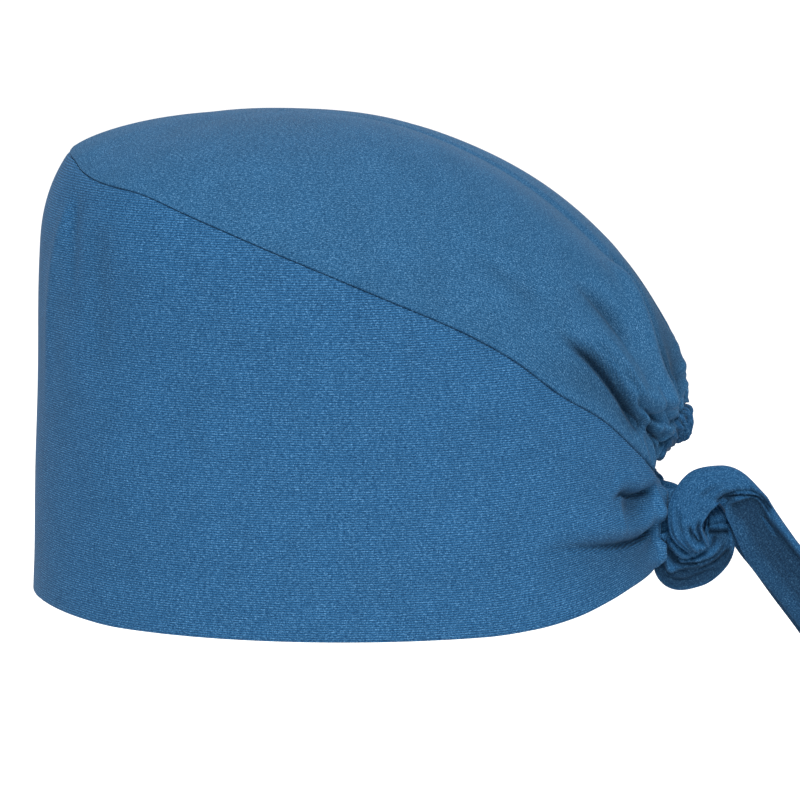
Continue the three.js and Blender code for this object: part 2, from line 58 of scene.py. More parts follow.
# Gathers of the crown over the casing: the pleats, the smaller gathers between them and
# the puckers across them. Counts are for a degree round the head and for the whole rise.
GATHER_DEPTH = 0.0034
PLEAT_SHARPNESS = 0.7
FINE_GATHER = 0.003
GATHERS_ROUND = 0.6
GATHERS_UP = 6
PUCKER_DEPTH = 0.0013
PUCKERS_ROUND = 0.3
PUCKERS_UP = 36
GATHER_LOW_RISE = 0.02
GATHER_HIGH_RISE = 0.3
HEM_TUCK = 0.0005
HEM_TUCK_RISE = 0.035

# Folds. At full depth the painted shade in a fold is darkest. The core is so many times
# narrower than the fold, and the lip and the step are measured in breadths of the fold.
FULL_DEPTH = 0.004
FOLD_SHARPNESS = 0.35
FOLD_STEPS = 4
FOLD_CORE = 3
FOLD_REACH = 8
LIP_DISTANCE = 2.4
LIP_BREADTH = 1.4
STEP_BREADTH = 5

# Painted shade: the hollow at the nape, behind the crown's longest folds, is drawn darker in
# colour, as if it got less light. Degrees and rises between which the shade sets in and ends.
NAPE_SHADE = 0.62
NAPE_SHADE_ANGLES = (172.5, 173.4)
NAPE_SHADE_FOOT = (0.03, 0.12)
NAPE_SHADE_TOP = (0.22, 0.48)

# Casing of the elastic. It is narrower and smoother towards its ends and closes there.
# Wrinkles are counted along it, up it and through it.
CASING_WIDTH = 0.0115
CASING_THICKNESS = 0.005
CASING_RUFFLE = 0.0007
CASING_RUFFLES = 15
CASING_CURL = 0.06
CASING_INSET = 0.001
CASING_END_SHARE = 0.55
CASING_TAPER = 0.26
CASING_EASE = 0.12
CASING_RUCHE = 0.5
CASING_RUFFLE_SHARE = 0.4
CASING_SMOOTH_END = 0.15
CASING_END_RANGE = (0.1, 0.5)
CASING_WANDER = 0.12
CASING_WANDERS = 4
CASING_EDGE = 0.5
CASING_FACE = 0.6
CASING_CLOSING = 30
CASING_WRINKLES = (14, 1.6, 1.1)
CASING_HALF_CUT = 0.025

# Ties and their half knot. Rumples are counted across and through a tie, and a row is one
# of its places. The tails get painted shade in their colour.
TIE_WIDTH = 0.018
TIE_THICKNESS = 0.0024
TIE_PINCH = 0.0016
TIE_PINCH_SHARE = 0.8
LEVEL_PLACES = 3
TIE_OVERLAP = 0.001
TIE_END_SHARE = 0.97
TIE_SQUARENESS = 0.85
TIE_CLOSING_ROWS = 1.25
TIE_RUMPLE = 0.0007
TIE_RUMPLE_LENGTH = 0.016
TIE_RUMPLES_ACROSS = 3.4
TIE_RUMPLES_THROUGH = 1.2
TIE_MOST_BUNCHED = 2.4
TIE_FOLD_LIMIT = 1.4
TIE_FOLD_EDGE = 2.5
TIE_FOLD_ROWS = 0.8
# Depth of a tie's fold at which its painted shade is darkest
TIE_FULL_DEPTH = 0.002
TAIL_SHADE = 0.66
TAIL_SHADE_ROWS = (12.5, 14)
KNOT_LENGTH = 0.026
KNOT_DEPTH = 0.032
KNOT_HEIGHT = 0.043
KNOT_STANDOFF = 0.002
TAIL_DROP = 0.112
TAIL_REACH = 0.068

# Degrees round the head from the middle of the forehead
HEM_START_ANGLE = 166
CASING_START_ANGLE = 166.8
BAND_END_ANGLE = 172
BACK_ANGLE = 180
SIDE_ANGLE = 120
GATHER_ANGLE = 150
HEAD_MIDDLE = Vector((0, 0, 0.06))

# How late the band rounds in to its seam, the rise up to which the crown's columns fan
# out, and how near the seam each lies flat, as a share of its rise
BAND_ROUNDING = 2.4
FAN_HEIGHT = 0.6
BAND_FLAT_EDGE = 0.1
CROWN_FLAT_EDGE = 0.05

# Fine shape of the cloth
SEAM_DIP = 0.0004
SEAM_DIP_BREADTH = 0.0009
SEAM_PUCKER = 1.2
SEAM_PUCKER_LENGTH = 0.004
SEAM_SLANT = 1.5
SEAM_END_ANGLE = 2
BAND_WAVES = 0.0008
BAND_WAVE_LENGTH = 0.045
BAND_HEM_RISE = 0.15
CROWN_WAVES = 0.0010
CROWN_WAVE_LENGTH = 0.05
BAND_RADIUS = 0.094
THREAD_SCALE = 400

# Each noise is read at a place of its own.
BAND_SEED = 1.7
CROWN_SEED = 5.3
SEAM_SEED = 3.1
GATHER_SEED = 0.4
PUCKER_SEED = 2.6
CASING_SEED = 0.7

# How finely each piece is laid, and the rows close to the seam: those of the band in
# metres below it, and those of the crown as rises
BAND_SIDE_COLUMNS = 80
BAND_BACK_COLUMNS = 70
CROWN_SIDE_COLUMNS = 40
CROWN_BACK_COLUMNS = 104
CROWN_GATHER_COLUMNS = 76
CASING_ROWS = 420
CASING_COLUMNS = 28
TIE_STEPS = 16
TIE_COLUMNS = 80
BAND_ROWS = 70
BAND_HEM_ROWS = 8
BAND_SEAM_ZONE = 0.004
BAND_SEAM_ROWS = (0.003, 0.0022, 0.0015, 0.001, 0.0006)
ALLOWANCE_TURN = 0.0009
CROWN_INNER_ROWS = 36
CROWN_INNER_EASE = 1.2
CROWN_INNER_FOOT = 0.03
CROWN_ALLOWANCE_RISES = (0.016, 0.006)
CROWN_SEAM_ROWS = (0.0035, 0.006, 0.009, 0.0125, 0.0165)
CROWN_OUTER_ROWS = 150
CROWN_OUTER_EASE = 1.4
CROWN_OUTER_FOOT = 0.021
CROWN_POLE = 0.999
MERGE_DISTANCE = 1e-6

# Sections of the side band: shares of FRONT_HEIGHT, of the rim's half sizes and of
# BACK_LIFT. Above "bend", a share of its height, the band rounds in to the seam.
BandSection = namedtuple("BandSection", "angle seam_height seam_reach lean bend lift")
BAND_SECTIONS = [
    BandSection(0, 1.0, 0.835, 0.06, 0.79, 0.2),
    BandSection(14, 0.993, 0.84, 0.06, 0.79, 0.19),
    BandSection(22, 0.976, 0.852, 0.06, 0.79, 0.15),
    BandSection(32, 0.961, 0.865, 0.06, 0.79, 0.08),
    BandSection(45, 0.949, 0.875, 0.055, 0.8, 0.0),
    BandSection(60, 0.903, 0.882, 0.055, 0.78, 0.0),
    BandSection(80, 0.822, 0.886, 0.055, 0.75, 0.0),
    BandSection(100, 0.73, 0.892, 0.055, 0.72, 0.0),
    BandSection(115, 0.655, 0.905, 0.05, 0.7, 0.0),
    BandSection(125, 0.59, 0.922, 0.04, 0.65, 0.08),
    BandSection(135, 0.507, 0.946, 0.025, 0.6, 0.27),
    BandSection(145, 0.445, 0.968, 0.015, 0.55, 0.56),
    BandSection(155, 0.368, 0.988, 0.005, 0.5, 0.8),
    BandSection(165, 0.3, 1.0, 0.0, 0.5, 0.93),
    BandSection(172, 0.27, 1.0, 0.0, 0.5, 1.0),
    BandSection(180, 0.26, 1.0, 0.0, 0.5, 1.0),
]

# Sections of the crown from the seam up: how far it leans out as it leaves the seam,
# how far it rises there, and how flat it comes in to the top.
CrownSection = namedtuple("CrownSection", "angle lean rise flat")
CROWN_SECTIONS = [
    CrownSection(0, -0.1, 0.5, 0.4),
    CrownSection(28, -0.1, 0.5, 0.4),
    CrownSection(45, -0.1, 0.5, 0.42),
    CrownSection(60, -0.08, 0.52, 0.45),
    CrownSection(80, -0.04, 0.5, 0.48),
    CrownSection(100, -0.02, 0.47, 0.52),
    CrownSection(115, 0.01, 0.45, 0.56),
    CrownSection(125, 0.05, 0.44, 0.6),
    CrownSection(140, 0.12, 0.42, 0.65),
    CrownSection(155, 0.18, 0.39, 0.685),
    CrownSection(165, 0.19, 0.38, 0.69),
    CrownSection(168, 0.14, 0.38, 0.69),
    CrownSection(172, 0.065, 0.38, 0.68),
    CrownSection(180, -0.01, 0.4, 0.68),
]

# The arch of the crown's lower edge over the nape, as shares of FRONT_HEIGHT and of
# the rim's half length.
HemSection = namedtuple("HemSection", "angle height reach")
HEM_SECTIONS = [
    HemSection(165, 0.3, 1.0),
    HemSection(168, 0.351, 1.02),
    HemSection(172, 0.402, 1.045),
    HemSection(176, 0.4235, 1.06),
    HemSection(180, 0.43, 1.065),
]

# How the columns of cloth gathered on the casing fan out towards the top.
FanSection = namedtuple("FanSection", "angle top")
CROWN_FAN = [
    FanSection(0, 0),
    FanSection(90, 80),
    FanSection(145, 112),
    FanSection(165, 130),
    FanSection(180, 180),
]

# Folds, each a line through places given as an angle and a rise, or for a tie as a row of
# its places and a share of the way across. Depth and breadth are metres, and a depth below
# zero stands out. Beside the fold the cloth stands up by "lip" of its depth on the left of
# the line, and lies lower by "step" of it on the right, as seen from outside. The fold
# fades in over the share "start" of its length and out over the share "end".
Fold = namedtuple("Fold", "depth breadth lip step start end path")
BAND_FOLDS = [
    Fold(-0.0012, 0.0048, 0, 0, 0.1, 0.5, [(24, 0.96), (21.5, 0.86), (19, 0.75), (16, 0.35)]),
    Fold(0.0012, 0.0034, 0, 0, 0.1, 0.5, [(24, 0.97), (26.5, 0.91), (28, 0.84), (29, 0.7)]),
    Fold(0.0010, 0.0110, 0, 0, 0.1, 0.5, [(34, 0.92), (38, 0.82), (37, 0.5)]),
    Fold(0.0048, 0.0030, 0.45, 0.5, 0.7, 0.02,
         [(122, 0.275), (130, 0.305), (138.5, 0.312), (150, 0.3), (158, 0.32), (164, 0.37),
          (170, 0.45)]),
    Fold(0.0050, 0.0024, 0.35, 0.5, 0.45, 0.1,
         [(145, 0.57), (148, 0.583), (151, 0.633), (156, 0.658), (161, 0.73), (167, 0.85)]),
    Fold(0.0018, 0.0060, 0, 0, 0.4, 0.4, [(150, 0.57), (157, 0.57), (164, 0.64)]),
    Fold(0.0010, 0.0040, 0, 0, 0.4, 0.4, [(140, 0.5), (150, 0.46), (163, 0.5)]),
    Fold(-0.0030, 0.0100, 0, 0, 0.3, 0.15, [(171.5, 1), (172, 0.84), (172, 0.66), (171, 0.49)]),
    Fold(-0.0028, 0.0080, 0, 0, 0.3, 0.3, [(171.5, 0.36), (172, 0.2), (171.5, 0)]),
]
CROWN_FOLDS = [
    Fold(0.0064, 0.0027, 0.5, 0.3, 0.45, 0.1,
         [(151, 0.185), (153, 0.156), (156, 0.131), (157.5, 0.088), (159, 0.065), (162.5, 0.045)]),
    Fold(0.0036, 0.0055, 0.3, 0, 0.5, 0.4,
         [(167, 0.36), (168.5, 0.3), (168.5, 0.24), (166.5, 0.17)]),
    Fold(0.0052, 0.0032, 0.6, 0, 0.12, 0.25,
         [(172.5, 0.13), (173, 0.22), (172.8, 0.27), (173.2, 0.33), (174.2, 0.4), (175, 0.46)]),
    Fold(0.0050, 0.0020, 0.5, 0.2, 0.3, 0.2, [(163.5, 0.115), (166, 0.098), (170, 0.106)]),
    Fold(0.0044, 0.0018, 0.5, 0.2, 0.3, 0.2, [(165.2, 0.075), (167.5, 0.062), (171, 0.075)]),
    Fold(0.0044, 0.0018, 0.5, 0.2, 0.3, 0.2, [(169, 0.16), (171.5, 0.11), (175, 0.12)]),
    Fold(0.0040, 0.0016, 0.5, 0.2, 0.3, 0.2, [(168, 0.045), (170.5, 0.035), (173, 0.06)]),
    Fold(0.0016, 0.0030, 0.3, 0, 0.4, 0.3, [(160, 0.22), (162.5, 0.15), (165, 0.11)]),
    Fold(0.0012, 0.0050, 0.2, 0, 0.5, 0.4, [(140, 0.34), (150, 0.27), (157, 0.2)]),
    Fold(0.0014, 0.0040, 0.2, 0, 0.5, 0.3, [(177, 0.42), (177.5, 0.3), (177, 0.18)]),
]

# Pleats of the crown from the middle of the back to the end of the casing.
Pleat = namedtuple("Pleat", "depth reach")
CROWN_PLEATS = [
    Pleat(0.75, 0.3),
    Pleat(0.6, 0.16),
    Pleat(1.0, 0.36),
    Pleat(0.55, 0.14),
    Pleat(0.8, 0.2),
    Pleat(0.5, 0.12),
]

# The ties in the knot: places as shares of half its length, depth and height from its
# middle, where the broad face looks, and shares of TIE_WIDTH and TIE_THICKNESS.
Turn = namedtuple("Turn", "x y z face_x face_y face_z breadth thickness")
LEFT_TIE_TURNS = [
    Turn(-0.82, -0.58, -0.03, 0.2, -0.97, 0, 1.3, 1.7),
    Turn(-0.74, -0.54, -0.36, 0, -1, 0, 0.8, 2),
    Turn(-0.64, -0.49, -0.74, 0, -1, 0, 0.86, 2.2),
    Turn(-0.18, -0.48, -0.76, 0, -1, 0, 0.73, 2.58),
    Turn(0.32, -0.45, -0.56, 0, -1, 0, 0.64, 2.5),
    Turn(0.45, -0.39, -0.23, 0, -1, 0, 0.62, 2.42),
    Turn(0.31, -0.23, 0.07, 0, -0.9, 0.3, 0.46, 2.17),
    Turn(-0.09, 0.17, 0.2, 0, -0.2, 0.95, 0.44, 1.75),
    Turn(-0.08, 0.53, 0.02, 0, 0.7, 0.7, 0.61, 1.33),
    Turn(0.38, 0.74, -0.08, 0.2, 0.95, 0.1, 0.7, 1.3),
    Turn(0.97, 0.71, -0.08, 0.1, 1, 0.1, 0.87, 1),
]
RIGHT_TIE_TURNS = [
    Turn(-0.87, 0.58, -0.01, 0.3, 0.95, 0, 1.2, 1.7),
    Turn(-0.54, 0.33, -0.16, 0.8, 0.6, 0, 0.48, 2.08),
    Turn(-0.23, 0.03, -0.25, 1, 0.2, 0, 0.4, 2.25),
    Turn(-0.2, -0.41, -0.26, 1, 0, -0.1, 0.39, 2.25),
    Turn(-0.22, -0.82, -0.3, 0.3, -0.7, -0.7, 0.5, 2.08),
    Turn(-0.49, -0.97, -0.03, -0.1, -0.99, -0.1, 0.64, 1.75),
    Turn(-0.4, -0.96, 0.3, 0, -1, 0.1, 0.78, 1.58),
    Turn(-0.06, -0.89, 0.56, 0, -0.95, 0.3, 0.82, 1.58),
    Turn(0.46, -0.8, 0.68, 0, -0.9, 0.4, 0.64, 1.67),
    Turn(0.89, -0.75, 0.55, 0.05, -0.95, 0.25, 0.62, 1.8),
    Turn(1.17, -0.68, 0.22, 0, -1, 0.1, 0.87, 1.42),
]
# The tails below the knot, as shares of TAIL_REACH, TAIL_DROP and KNOT_DEPTH.
TailPlace = namedtuple("TailPlace", "reach drop side")
LEFT_TAIL = [
    TailPlace(0.34, 0.105, 0.32),
    TailPlace(0.48, 0.218, 0.3),
    TailPlace(0.66, 0.368, 0.3),
    TailPlace(0.81, 0.53, 0.32),
    TailPlace(0.91, 0.75, 0.34),
    TailPlace(0.955, 0.965, 0.36),
]
RIGHT_TAIL = [
    TailPlace(0.347, 0.09, -0.31),
    TailPlace(0.487, 0.193, -0.3),
    TailPlace(0.662, 0.336, -0.3),
    TailPlace(0.82, 0.51, -0.31),
    TailPlace(0.94, 0.73, -0.32),
    TailPlace(1.0, 1.0, -0.33),
]


def mix(a, b, share):
    """The value that lies a share of the way from a to b."""
    return a + (b - a) * share


def smooth(x, low, high):
    """0 below low, 1 above high, and a soft step between them."""
    share = min(1.0, max(0.0, (x - low) / (high - low)))
    return share * share * (3 - 2 * share)


def bell(distance, breadth):
    """1 in the middle of a fold, fading to nothing beside it."""
    return math.exp(-((distance / breadth) ** 2))


def slope_at(table, column, row):
    """How steep a column is at one row: level where it turns or ends."""
    if row < 1 or row > len(table) - 2:
        return 0.0
    before, after = (
        (table[i + 1][column] - table[i][column]) / (table[i + 1][0] - table[i][0])
        for i in (row - 1, row)
    )
    return 2 * before * after / (before + after) if before * after > 0 else 0.0


class Section:
    """The columns of a table of sections, read at any angle by a cubic."""

    def __init__(self, table):
        self.angles = [row.angle for row in table]
        self.steps = []
        for i in range(len(table) - 1):
            span = table[i + 1].angle - table[i].angle
            step = []
            for column in range(1, len(table[0])):
                value = table[i][column]
                rise = table[i + 1][column] - value
                a = slope_at(table, column, i) * span
                b = slope_at(table, column, i + 1) * span
                step.append((value, a, 3 * rise - 2 * a - b, a + b - 2 * rise))
            self.steps.append((table[i].angle, span, step))

    def at(self, angle):
        angle = min(self.angles[-1], max(self.angles[0], abs(angle)))
        i = 0
        while i < len(self.steps) - 1 and self.angles[i + 1] < angle:
            i += 1
        start, span, step = self.steps[i]
        s = (angle - start) / span
        return [a + s * (b + s * (c + s * d)) for a, b, c, d in step]


band_section = Section(BAND_SECTIONS)
crown_section = Section(CROWN_SECTIONS)
hem_section = Section(HEM_SECTIONS)
fan_section = Section(CROWN_FAN)


def placed(angle, reach, height):
    """A place at an angle round the head, at a share of the rim's reach and a height."""
    turn = math.radians(angle)
    return Vector((
        CROWN_SHIFT * (1 - reach) - RIM_HALF_LENGTH * reach * math.cos(turn),
        RIM_HALF_WIDTH * reach * math.sin(turn),
        height,
    ))


def seam_height(angle):
    return FRONT_HEIGHT * band_section.at(angle)[0]


def plain_band(angle, rise):
    """The band without folds: rise 0 is its lower edge and 1 its seam."""
    height, reach, lean, bend, lift = band_section.at(angle)
    rounded = max(0.0, (rise - bend) / (1 - bend)) ** BAND_ROUNDING
    inwards = lean * rise + (1 - lean - reach) * rounded
    return placed(angle, 1 - inwards, mix(BACK_LIFT * lift, FRONT_HEIGHT * height, rise))


def crown_edge(angle):
    """Height and reach of the crown's lower edge: the seam, and the arch at the nape."""
    section = band_section if abs(angle) < HEM_SECTIONS[0].angle else hem_section
    height, reach = section.at(angle)[:2]
    return FRONT_HEIGHT * height, reach


def cubic(a, b, c, d, t):
    s = 1 - t
    return s * s * s * a + 3 * s * s * t * b + 3 * s * t * t * c + t * t * t * d


def crown_angle(foot, rise):
    """Where a column of the crown that stands at foot has turned to at a rise."""
    top = math.copysign(fan_section.at(foot)[0], foot)
    return mix(foot, top, 1 - (1 - min(1, rise / FAN_HEIGHT)) ** 2)


def plain_crown(foot, rise):
    """The crown without pleats: rise 0 is its lower edge and 1 the top."""
    angle = crown_angle(foot, rise)
    edge_height, edge_reach = crown_edge(angle)
    lean, shoulder, flat = crown_section.at(angle)
    shoulder_height = mix(edge_height, CROWN_HEIGHT, shoulder)
    return placed(
        angle,
        cubic(edge_reach, edge_reach + lean, flat, 0, rise),
        cubic(edge_height, shoulder_height, CROWN_HEIGHT, CROWN_HEIGHT, rise),
    )


def normal_of(surface, angle, rise):
    """The outward normal of a surface, from two short steps on it."""
    turn = 0.2
    step = 0.004
    around = surface(angle + turn, rise) - surface(angle - turn, rise)
    up = surface(angle, min(1, rise + step)) - surface(angle, max(0, rise - step))
    return up.cross(around).normalized()


def seam_direction(angle):
    """The direction that both edges of the seam are cut along."""
    beside = 0.01
    band = normal_of(plain_band, angle, 1 - beside)
    return (band + normal_of(plain_crown, angle, beside)).normalized()


def smooth_line(points, steps):
    """Places and directions on a smooth line through points, steps of them between two."""
    ends = [2 * points[0] - points[1]] + points + [2 * points[-1] - points[-2]]
    line = []
    for row in range(len(points) - 1):
        a, b, c, d = ends[row : row + 4]
        first, second, third = ((q - p).length ** 0.5 for p, q in ((a, b), (b, c), (c, d)))
        leave = ((b - a) / first - (c - a) / (first + second) + (c - b) / second) * second
        arrive = ((c - b) / second - (d - b) / (second + third) + (d - c) / third) * second
        square = 3 * (c - b) - 2 * leave - arrive
        cube = 2 * (b - c) + leave + arrive
        last = row == len(points) - 2
        for step in range(steps + 1 if last else steps):
            t = step / steps
            place = b + t * (leave + t * (square + t * cube))
            along = leave + t * (2 * square + 3 * t * cube)
            line.append((row + t, place, along.normalized()))
    return line


class FoldLine:
    """A fold as a line in space, on a surface that turns a place of its path into one in
    space. Further than its reach from its middle, the fold doesn't show."""

    def __init__(self, fold, surface):
        self.fold = fold
        points = [Vector(surface(*place)) for place in fold.path]
        smoothed = [point for _, point, _ in smooth_line(points, FOLD_STEPS)]
        self.parts = []
        length = 0.0
        for a, b in zip(smoothed, smoothed[1:]):
            self.parts.append((a, b - a, (b - a).length_squared, length))
            length += (b - a).length
        self.length = length
        self.middle = sum(smoothed, Vector()) / len(smoothed)
        half_length = max((point - self.middle).length for point in smoothed)
        self.reach = half_length + FOLD_REACH * fold.breadth

    def pressed(self, place, outward):
        """How far this fold presses the cloth in at a place."""
        if (place - self.middle).length > self.reach:
            return 0.0
        near = None
        for start, way, square, before in self.parts:
            offset = place - start
            share = min(1.0, max(0.0, offset.dot(way) / square))
            aside = offset - way * share
            if near is None or aside.length_squared < near[0]:
                near = (aside.length_squared, aside, way, before + share * math.sqrt(square))
        _, aside, way, along = near
        fold = self.fold
        along /= self.length
        shown = smooth(along, 0, fold.start) * (1 - smooth(along, 1 - fold.end, 1))
        breadth = fold.breadth
        away = aside.length
        left = outward.cross(way).dot(aside) > 0
        pressed = mix(bell(away, breadth), bell(away, breadth / FOLD_CORE), FOLD_SHARPNESS)
        if left:
            pressed -= fold.lip * bell(away - LIP_DISTANCE * breadth, LIP_BREADTH * breadth)
        elif fold.step:
            pressed = max(pressed, fold.step * bell(away, STEP_BREADTH * breadth))
        return fold.depth * shown * pressed


def crown_pleat(foot, rise):
    """How far the short pleats push the crown in above the casing."""
    at = (BACK_ANGLE - abs(foot)) / (BACK_ANGLE - HEM_START_ANGLE)
    if at >= 1:
        return 0.0
    count = len(CROWN_PLEATS)
    pleat = CROWN_PLEATS[min(count - 1, int(at * count))]
    fade = 1 - smooth(rise, 0, pleat.reach)
    turn = math.pi * at * count
    valley = mix(math.sin(turn) ** 2, 1 - abs(math.cos(turn)), PLEAT_SHARPNESS)
    return -GATHER_DEPTH * pleat.depth * fade * valley


def softness(place, size, seed):
    """Slow, shallow waves in cloth that isn't stretched quite smooth, from -1 to 1."""
    return noise.noise(place / size + Vector((seed, 0, 0)))


def even(start, end, steps):
    """Evenly spaced values from start to end, both of them in."""
    return [mix(start, end, i / steps) for i in range(steps + 1)]


def seam_dip(angle, below):
    """How far the stitches draw the cloth in at a distance from the seam."""
    along = angle * math.radians(1) * RIM_HALF_WIDTH
    pucker = noise.noise(Vector((along / SEAM_PUCKER_LENGTH, SEAM_SEED, 0)))
    return SEAM_DIP * (1 + SEAM_PUCKER * pucker) * bell(below, SEAM_DIP_BREADTH)


def on_left(place):
    """The same place on the wearer's left, where the folds of the band and crown are given."""
    return Vector((place.x, -abs(place.y), place.z))


def head_folds(lines, place):
    """How far the folds stand out on the band or the crown, the same on both sides."""
    left = on_left(place)
    outward = left - HEAD_MIDDLE
    return -sum(line.pressed(left, outward) for line in lines)


def band_relief(angle, rise, place):
    """How far the folds and waves of the band stand out."""
    near_seam = smooth(rise, 1 - BAND_FLAT_EDGE, 1)
    folds = (1 - near_seam) * head_folds(band_fold_lines, place)
    waves = BAND_WAVES * softness(place, BAND_WAVE_LENGTH, BAND_SEED)
    waves *= smooth(rise, 0, BAND_HEM_RISE) * (1 - near_seam)
    return folds + waves - seam_dip(angle, (1 - rise) * seam_height(angle))


def band_point(angle, rise, inward):
    """A place on the band, "inward" metres inside its outer face, and how much painted
    shade darkens it for lying deep in a fold."""
    plain = plain_band(angle, rise)
    direction = normal_of(plain_band, angle, rise)
    near_seam = smooth(rise, 1 - BAND_FLAT_EDGE, 1)
    if near_seam > 0:
        direction = direction.lerp(seam_direction(angle), near_seam).normalized()
    relief = band_relief(angle, rise, plain)
    return plain + direction * (relief - inward), -relief / FULL_DEPTH


def fine_gathers(foot, rise):
    """The smaller gathers and the puckers over the casing, which differ left and right."""
    held = smooth(abs(foot), GATHER_ANGLE, BACK_ANGLE)
    held *= 1 - smooth(rise, GATHER_LOW_RISE, GATHER_HIGH_RISE)
    round_nape = foot - math.copysign(BACK_ANGLE, foot)
    gather = Vector((round_nape * GATHERS_ROUND, rise * GATHERS_UP, GATHER_SEED))
    pucker = Vector((round_nape * PUCKERS_ROUND, rise * PUCKERS_UP, PUCKER_SEED))
    return held * (FINE_GATHER * noise.noise(gather) + PUCKER_DEPTH * noise.noise(pucker))


def crown_relief(foot, rise, place):
    """How far the folds, pleats and waves of the crown stand out."""
    near_seam = 1 - smooth(rise, 0, CROWN_FLAT_EDGE)
    folds = (1 - near_seam) * head_folds(crown_fold_lines, place)
    waves = CROWN_WAVES * softness(place, CROWN_WAVE_LENGTH, CROWN_SEED) * (1 - near_seam)
    gathers = fine_gathers(foot, rise) + crown_pleat(foot, rise)
    in_seam = 1 - smooth(abs(foot), HEM_START_ANGLE - SEAM_END_ANGLE, HEM_START_ANGLE)
    above = SEAM_SLANT * rise * CROWN_HEIGHT
    tucked = HEM_TUCK * (1 - in_seam) * (1 - smooth(rise, 0, HEM_TUCK_RISE))
    return folds + waves + gathers - tucked - in_seam * seam_dip(foot, above)


def nape_shade(foot, rise):
    """How much painted shade darkens the hollow of the nape."""
    behind_fold = smooth(abs(foot), *NAPE_SHADE_ANGLES)
    in_hollow = smooth(rise, *NAPE_SHADE_FOOT) * (1 - smooth(rise, *NAPE_SHADE_TOP))
    return NAPE_SHADE * behind_fold * in_hollow


def crown_point(foot, rise, inward):
    """A place on the crown, "inward" metres inside its outer face, and how much painted
    shade darkens it: for lying deep in a fold, and in the hollow of the nape."""
    plain = plain_crown(foot, rise)
    if rise > CROWN_POLE:
        return plain - Vector((0, 0, inward)), 0.0
    direction = normal_of(plain_crown, foot, rise)
    near_seam = 1 - smooth(rise, 0, CROWN_FLAT_EDGE)
    if near_seam > 0:
        direction = direction.lerp(seam_direction(foot), near_seam).normalized()
    relief = crown_relief(foot, rise, plain)
    return plain + direction * (relief - inward), nape_shade(foot, rise) - relief / FULL_DEPTH


band_fold_lines = [
    FoldLine(fold, lambda angle, rise: plain_band(-angle, rise)) for fold in BAND_FOLDS
]
crown_fold_lines = [
    FoldLine(fold, lambda foot, rise: plain_crown(-foot, rise)) for fold in CROWN_FOLDS
]


def lay_cloth(name, places, painted_shade_rows, flat):
    """A closed, smooth piece of cloth from a flat grid, whose corner in row j and column
    i is laid at places[j][i]. flat[j][i] is the same corner on the uncut cloth, and
    painted_shade_rows[j][i] says how much painted shade darkens its colour, mostly for lying
    deep in a fold."""
    rows = len(places) - 1
    columns = len(places[0]) - 1
    mesh = bmesh.new()
    cloth_uv = mesh.loops.layers.uv.new("cloth")
    # Painted shade: how much darker each corner's colour is drawn, in folds and other shaded places
    painted_shade = mesh.verts.layers.float.new("painted_shade")
    bmesh.ops.create_grid(mesh, x_segments=columns, y_segments=rows, size=0.5, calc_uvs=True)
    for vertex in mesh.verts:
        i = round((vertex.co.x + 0.5) * columns)
        j = round((vertex.co.y + 0.5) * rows)
        vertex[painted_shade] = painted_shade_rows[j][i]
        for loop in vertex.link_loops:
            loop[cloth_uv].uv = flat[j][i]
        vertex.co = places[j][i]
    bmesh.ops.remove_doubles(mesh, verts=mesh.verts, dist=MERGE_DISTANCE)
    bmesh.ops.holes_fill(mesh, edges=[edge for edge in mesh.edges if edge.is_boundary])
    bmesh.ops.recalc_face_normals(mesh, faces=mesh.faces)
    for face in mesh.faces:
        face.smooth = True
    data = bpy.data.meshes.new(name)
    mesh.to_mesh(data)
    mesh.free()
    piece = bpy.data.objects.new(name, data)
    bpy.context.scene.collection.objects.link(piece)
    return piece


def band_profile(height, end_share):
    """(rise, inward) of each row: from the seam down the inside, round the folded lower
    edge, up the outside and in over the seam. At the ends of the band its two faces
    meet."""
    hem = BAND_WALL / 2 / height
    top = 1 - SEAM_GAP / 2 / height
    lip = LIP_EASE * LIP_RADIUS
    face = even(hem, top - BAND_SEAM_ZONE / height, BAND_ROWS)
    face += [top - below / height for below in BAND_SEAM_ROWS]
    turns = even(0, math.pi, BAND_HEM_ROWS)[1:-1]
    rows = [(top, SEAM_ALLOWANCE), (top - ALLOWANCE_TURN / height, SEAM_ALLOWANCE)]
    rows += [(rise, BAND_WALL) for rise in reversed(face[:-2])]
    rows += [(hem * (1 - math.sin(turn)), BAND_WALL / 2 * (1 + math.cos(turn))) for turn in turns]
    rows += [(rise, 0) for rise in face]
    rows += [(top - lip / height, lip), (top, LIP_RADIUS)]
    rows += [(top, SEAM_ALLOWANCE / 2), (top, SEAM_ALLOWANCE)]
    return [(rise, mix(BAND_WALL / 2, inward, end_share)) for rise, inward in rows]


def make_side_band():
    """The band, from the end of its left half round the forehead to that of its right."""
    half = even(0, SIDE_ANGLE, BAND_SIDE_COLUMNS)
    half += even(SIDE_ANGLE, BAND_END_ANGLE, BAND_BACK_COLUMNS)[1:]
    angles = list(reversed(half[1:])) + [-angle for angle in half]
    columns = []
    for angle in angles:
        to_end = math.radians(BAND_END_ANGLE - abs(angle)) * RIM_HALF_WIDTH
        open_share = math.sqrt(1 - (1 - min(1, 2 * to_end / BAND_WALL)) ** 2)
        columns.append(band_profile(seam_height(angle), open_share))
    places, painted_shade_rows, flat = [], [], []
    for j in range(len(columns[0])):
        line = [band_point(angle, *columns[i][j]) for i, angle in enumerate(angles)]
        places.append([place for place, _ in line])
        painted_shade_rows.append([depth for _, depth in line])
        flat.append([
            (math.radians(angle) * BAND_RADIUS, columns[i][j][0] * seam_height(angle))
            for i, angle in enumerate(angles)
        ])
    return lay_cloth("side_band_cloth", places, painted_shade_rows, flat)


